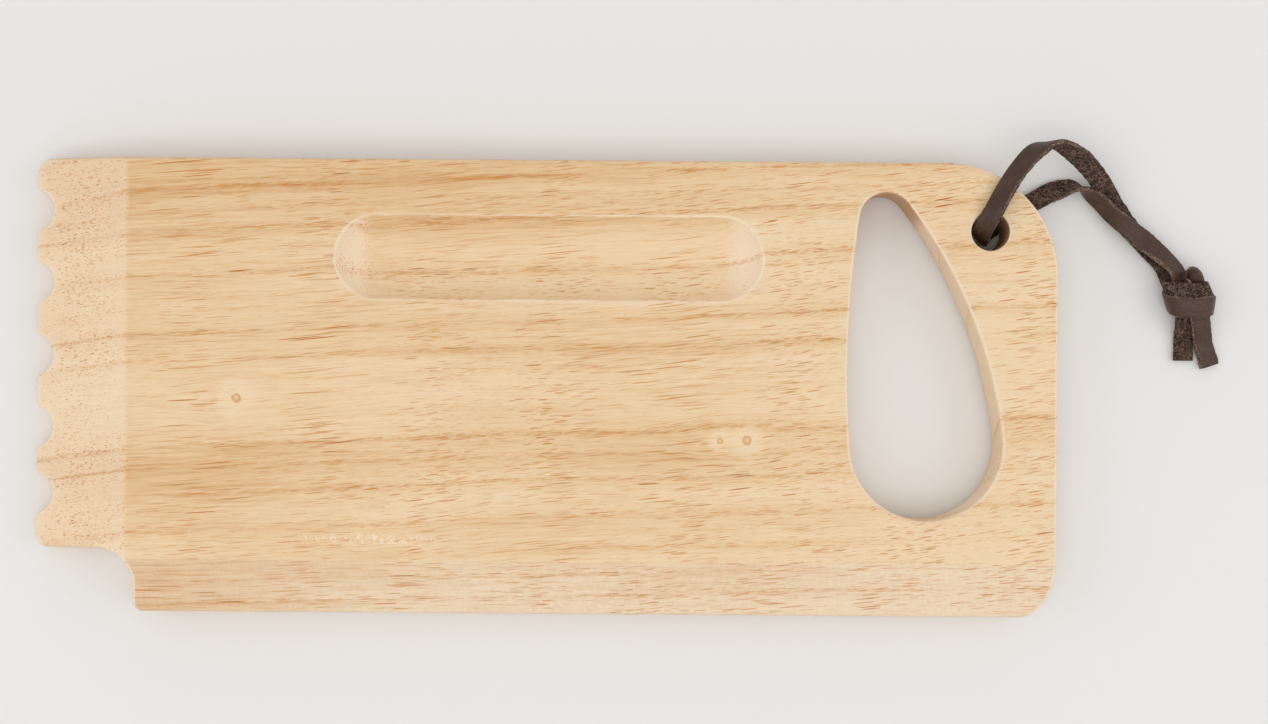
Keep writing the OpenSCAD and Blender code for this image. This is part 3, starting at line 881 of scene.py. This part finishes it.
    # Vessels crowd beside a ring line and in dark bands. The tone is the sum of all that is drawn
    # out along the fibres, and falls from left to right.
    crowd = node(tree, MATHS, (crowd, 1.5, tone), **TIMES_PLUS)
    parts = ((cloud, 0.8), (band, 0.5), (streak, 0.7), (late, 0.08), (near, 0.16), (hair, 0.7),
             (halo, -0.3), (thread, 0.40), (x, -0.0010))
    for part, share in parts:
        tone = node(tree, MATHS, (part, share, tone), **TIMES_PLUS)
    tone = node(tree, MATHS, (tone, -1.64), **PLUS, use_clamp=True)
    ramp = tree.nodes.new("ShaderNodeValToRGB")
    first, final = ramp.color_ramp.elements
    first.position, first.color = 0.05, linear(shades[0])
    final.position, final.color = 0.95, linear(shades[2])
    ramp.color_ramp.elements.new(0.42).color = linear(shades[1])
    tree.links.new(tone, ramp.inputs[0])
    colour = ramp.outputs[0]
    # Steep cuts across the fibres are paler, partly as cut wood is and partly as painted sheen and
    # light, and eased edges are painted paler as a highlight
    normal = node(tree, "ShaderNodeTexCoord", (), output="Normal")
    steep, _, facing = node(tree, SPLIT, (normal,), **ALL_THREE)
    steep = node(tree, MATHS, (steep,), operation="ABSOLUTE")
    # Paler where the face tilts across the fibres: partly the cut wood's own colour, partly painted
    # sheen of the lamps. Walls straight across the fibres lose a little of it, as end grain, and
    # keep the rest as painted light.
    pale = node(tree, SPAN, (steep, 0.05, 0.44, 0.0, 0.68), **SMOOTH)
    end_grain_and_light = node(tree, SPAN, (steep, 0.7, 1.0, 1.0, 0.7), **SMOOTH)
    pale = node(tree, MATHS, (pale, end_grain_and_light), **TIMES)
    # Painted highlight on the eased edges, the groove's rim and the bevel's crest, broken up by the
    # bands
    painted_light = node(tree, "ShaderNodeAttribute", (), output="Fac", attribute_name="edge_highlight")
    painted_light = node(tree, MATHS, (painted_light, band), **TIMES)
    pale = node(tree, MATHS, (painted_light, 0.35, pale), **TIMES_PLUS, use_clamp=True)
    faint = node(tree, MATHS, (pale, -0.35, 1.0), **TIMES_PLUS)
    line = node(tree, MATHS, (line, faint), **TIMES)
    # The groove's rim gets a painted highlight
    rim = groove_rim_highlight(tree, place)
    for share, tint in ((pale, "#F6E0C6"), (line, "#C98C48"), (rim, "#FBEBD2")):
        colour = node(tree, MIX, {0: share, 6: colour, 7: linear(tint)}, **COLOURS)
    for part, share in ((near, 0.5), (halo, -0.9), (pale, -0.3)):
        crowd = node(tree, MATHS, (part, share, crowd), **TIMES_PLUS)
    crowd = node(tree, MATHS, (crowd, -0.9), **PLUS)
    colour, opened = vessels(tree, fibre, offset, crowd, colour)
    if knots:
        dot = node(tree, MATHS, (dot, 0.65), **TIMES)
        for share, tint in ((dot, "#CC861E"), (torn_grain(tree, place), "#F4E2C6")):
            colour = node(tree, MIX, {0: share, 6: colour, 7: linear(tint)}, **COLOURS)
    # The cutters have scorched the wall at the tip of the hand opening, and the lace hole's wall is
    # darkened as painted shade inside the hole
    facing = node(tree, SPAN, (facing, 0.2, 0.8, 1.0, 0.0))
    for spot, radius, tint in ((TIP, TIP_R, "#B07A40"), (LACE_HOLE, LACE_HOLE_R, "#9C6630")):
        burn_and_shade = node(tree, VECTOR, (place, (*(MM * spot), 0)), **MINUS)
        burn_and_shade = node(tree, VECTOR, (burn_and_shade, (1, 1, 0)), **TIMES)
        burn_and_shade = node(tree, VECTOR, (burn_and_shade,), **LENGTH)
        edge = MM * radius
        burn_and_shade = node(tree, SPAN, (burn_and_shade, edge + 0.2, edge + 5, 0.75, 0.0), **SMOOTH)
        burn_and_shade = node(tree, MATHS, (burn_and_shade, facing), **TIMES)
        colour = node(tree, MIX, {0: burn_and_shade, 6: colour, 7: linear(tint)}, **COLOURS)
    # Flecks across the fibres, where a cut runs along the rays
    flecks = node(tree, VECTOR, (fibre, (1.0, 0.5, 0.5)), **TIMES)
    flecks = node(tree, NOISE, {"Vector": flecks, "Scale": 1.0, "Detail": 3.0, "Roughness": 0.7})
    grit = node(tree, MATHS, (flecks, fleck, 1 - 0.5 * fleck), **TIMES_PLUS)
    grit = node(tree, MATHS, (hair, 0.10, grit), **TIMES_PLUS)
    grit = node(tree, MATHS, (grit, -0.05), **PLUS)
    colour = node(tree, VECTOR, {0: colour, "Scale": grit}, operation="SCALE")
    tree.links.new(colour, shader.inputs["Base Color"])
    rough = node(tree, SPAN, (hair, 0.3, 0.7, 0.50, 0.62))
    tree.links.new(rough, shader.inputs["Roughness"])
    shader.inputs["IOR"].default_value = 1.5
    relief = node(tree, MATHS, (opened, -1.0, hair), **TIMES_PLUS)
    bump = node(tree, "ShaderNodeBump", {"Height": relief, "Strength": 0.4, "Distance": 0.00006})
    tree.links.new(bump, shader.inputs["Normal"])
    return material


def cowhide():
    """Chrome-tanned cowhide, 2 mm thick and cut with a knife. Its grain face is smooth with fine
    creases, painted darker as shade in them, and a low sheen, and lighter streaks along the
    strip are scratches and a painted sheen. Its flesh face is a fuzz of light and dark fibres,
    and its cut edges are paler and rough. Creases are 1 to 2 mm apart and fibres about 0.5 mm,
    as coarse as they need to be to show. Scales are for metres."""
    material, tree, shader = new_material("cowhide_leather")
    place = node(tree, "ShaderNodeTexCoord", (), output="Object")
    side = node(tree, "ShaderNodeAttribute", (), output="Fac", attribute_name="face_side")
    flesh = node(tree, SPAN, (side, -0.2, -0.6, 0.0, 1.0))
    grain = node(tree, SPAN, (side, 0.2, 0.7, 0.0, 1.0))
    cloud = node(tree, NOISE, {"Vector": place, "Scale": 110.0, "Detail": 4.0, "Roughness": 0.65})
    cloud = node(tree, SPAN, (cloud, 0.3, 0.7, 0.0, 1.0))
    # Creases are the borders of bent cells
    bent = node(tree, NOISE, {"Vector": place, "Scale": 700.0, "Detail": 2.0}, output="Color")
    bent = node(tree, VECTOR, (bent, (0.0008, 0.0008, 0.0008), place), **TIMES_PLUS)
    crease = {"Vector": bent, "Scale": 620.0}
    crease = node(tree, "ShaderNodeTexVoronoi", crease, feature="DISTANCE_TO_EDGE")
    crease = node(tree, SPAN, (crease, 0.0, 0.09, 1.0, 0.0))
    # Fuzz is fine fibres in tufts
    fibres = {"Vector": place, "Scale": 1900.0, "Detail": 3.0, "Roughness": 0.7, "Distortion": 1.0}
    fibres = node(tree, NOISE, fibres)
    tufts = node(tree, NOISE, {"Vector": place, "Scale": 420.0, "Detail": 2.0})
    fuzz = node(tree, MATHS, (tufts, 0.25, fibres), **TIMES_PLUS)
    fuzz = node(tree, SPAN, (fuzz, 0.58, 0.76, 0.0, 1.0))
    # Lighter marks run along the strip: scratches, and a painted sheen
    strip = node(tree, "ShaderNodeAttribute", (), output="Vector", attribute_name="strip_place")
    lighter_marks = node(tree, VECTOR, (strip, (260, 1100, 0)), **TIMES)
    lighter_marks = node(tree, NOISE, {"Vector": lighter_marks, "Scale": 1.0, "Detail": 3.0, "Roughness": 0.7})
    lighter_marks = node(tree, SPAN, (lighter_marks, 0.45, 0.8, 0.0, 0.25))
    # The creases are painted darker, as shade in them, more in the cloudy patches
    painted_light = node(tree, MATHS, (crease, cloud), **TIMES)
    painted_light = node(tree, MATHS, (painted_light, 0.8), **TIMES)
    smooth, fuzzy, edge = (
        node(tree, MIX, {0: share, 6: linear(dark), 7: linear(light)}, **COLOURS)
        for share, dark, light in ((cloud, "#3A271C", "#50382A"), (fuzz, "#1B100C", "#876A5B"),
                                   (fuzz, "#4A372D", "#A98E7B")))
    # The painted shade of the creases, then the scratches and painted sheen, go over the smooth
    # face
    for share, tint in ((painted_light, "#281C15"), (lighter_marks, "#785C4B")):
        smooth = node(tree, MIX, {0: share, 6: smooth, 7: linear(tint)}, **COLOURS)
    colour = node(tree, MIX, {0: flesh, 6: edge, 7: fuzzy}, **COLOURS)
    colour = node(tree, MIX, {0: grain, 6: colour, 7: smooth}, **COLOURS)
    tree.links.new(colour, shader.inputs["Base Color"])
    rough = node(tree, SPAN, (grain, 0.0, 1.0, 0.95, 0.42))
    tree.links.new(rough, shader.inputs["Roughness"])
    shader.inputs["IOR"].default_value = 1.42
    pebbles = node(tree, MATHS, (crease, -0.3, 0.5), **TIMES_PLUS)
    relief = node(tree, MIX, {0: grain, 2: fuzz, 3: pebbles})
    bump = node(tree, "ShaderNodeBump", {"Height": relief, "Strength": 0.6, "Distance": 0.0003})
    tree.links.new(bump, shader.inputs["Normal"])
    return material


# What rests on the table: the lace below the board's corner, and the two corners of the notched end
TABLE_RESTS = np.array([[0.157, 0.058, -0.0027], [-0.171, -0.054, 0.0], [-0.136, -0.075, 0.0]])
TABLE_REACH = 3.0


def stage_floor():
    """The pale table: the plane through what rests on it."""
    lace, *ends = TABLE_RESTS
    normal = np.cross(ends[0] - lace, ends[1] - lace)
    corners = TABLE_REACH * np.array([[-1, -1], [1, -1], [1, 1], [-1, 1]])
    heights = lace[2] - ((corners - lace[:2]) @ normal[:2]) / normal[2]
    mesh = bpy.data.meshes.new("table")
    mesh.from_pydata(np.c_[corners, heights].tolist(), [], [[0, 1, 2, 3]])
    floor = bpy.data.objects.new("table", mesh)
    bpy.context.scene.collection.objects.link(floor)
    material, _, shader = new_material("matt_laminate")
    shader.inputs["Base Color"].default_value = linear("#E9E8E6")
    shader.inputs["Roughness"].default_value = 0.9
    mesh.materials.append(material)


# Softboxes that face the board: place, width, height and power. The room's light, and how bright
# the camera sees it
SOFTBOXES = {
    "top_softbox": ((-0.05, -0.28, 1.5), 1.4, 1.0, 5.7),
    "left_softbox": ((-0.85, -0.05, 0.75), 0.6, 0.8, 1.5),
    "right_softbox": ((0.85, -0.05, 0.75), 0.6, 0.8, 1.5),
}
ROOM_LIGHT = 0.66
ROOM_SEEN = 0.9


def studio():
    """A large softbox over the board, a weaker one past each end, and a plain grey-white room."""
    for name, (place, width, height, power) in SOFTBOXES.items():
        lamp = bpy.data.lights.new(name, "AREA")
        lamp.shape = "RECTANGLE"
        lamp.size = width
        lamp.size_y = height
        lamp.energy = power
        obj = bpy.data.objects.new(name, lamp)
        bpy.context.scene.collection.objects.link(obj)
        z = unit(np.array(place))
        x = unit(np.cross([0, 1, 0], z))
        obj.matrix_world = Matrix((*np.c_[x, np.cross(z, x), z, place], (0, 0, 0, 1)))
    world = bpy.data.worlds.new("room")
    bpy.context.scene.world = world
    world.use_nodes = True
    tree = world.node_tree
    tree.nodes.clear()
    seen = node(tree, "ShaderNodeLightPath", (), output="Is Camera Ray")
    strength = node(tree, SPAN, (seen, 0.0, 1.0, ROOM_LIGHT, ROOM_SEEN))
    light = node(tree, "ShaderNodeBackground", {"Color": (1, 1, 1, 1), "Strength": strength})
    output = tree.nodes.new("ShaderNodeOutputWorld")
    tree.links.new(light, output.inputs["Surface"])


# The camera looks straight down on the front face. The photograph is 1268 by 724 pixels, and the
# point below the lens lies left of and below its middle.
IMAGE_WIDTH = 1268
LENS_PIXEL = (561, 395)
IMAGE_MIDDLE = (634, 362)
LENS_POINT = (0.0058, -0.0027)
VIEW_DISTANCE = 0.700
PIXEL_SIZE = 0.0003353
SENSOR = 36.0
ROLL = 0.0075


def camera():
    """A lens above the board, with the photograph's scale, framing and slight roll."""
    data = bpy.data.cameras.new("camera")
    data.sensor_width = SENSOR
    data.lens = SENSOR * VIEW_DISTANCE / (IMAGE_WIDTH * PIXEL_SIZE)
    data.shift_x = (IMAGE_MIDDLE[0] - LENS_PIXEL[0]) / IMAGE_WIDTH
    data.shift_y = (LENS_PIXEL[1] - IMAGE_MIDDLE[1]) / IMAGE_WIDTH
    data.clip_start = 0.01
    obj = bpy.data.objects.new("camera", data)
    obj.location = (*LENS_POINT, THICK + VIEW_DISTANCE)
    obj.rotation_euler = (0, 0, ROLL)
    bpy.context.scene.collection.objects.link(obj)
    bpy.context.scene.camera = obj


camera()
studio()
leather_lace(cowhide())

board = board_mesh()
wood = rubberwood("rubberwood_wide", (3.1, 5.7, 2.3), (0.078, 0.04), WIDE_RINGS, WIDE_TONES,
                  ("#ECD1AA", "#E3C092", "#CFA06A"), 0.03, PIN_KNOTS)
stave(board, "wide_stave", True, wood)
wood = rubberwood("rubberwood_narrow", (17.4, 9.2, 6.6), (0.03, 0.025), NARROW_RINGS, NARROW_TONES,
                  ("#EBD3B4", "#E1C29C", "#D0A678"), 0.22, [])
stave(board, "narrow_stave", False, wood)
board.free()
stage_floor()

bpy.context.scene.view_settings.view_transform = "Standard"
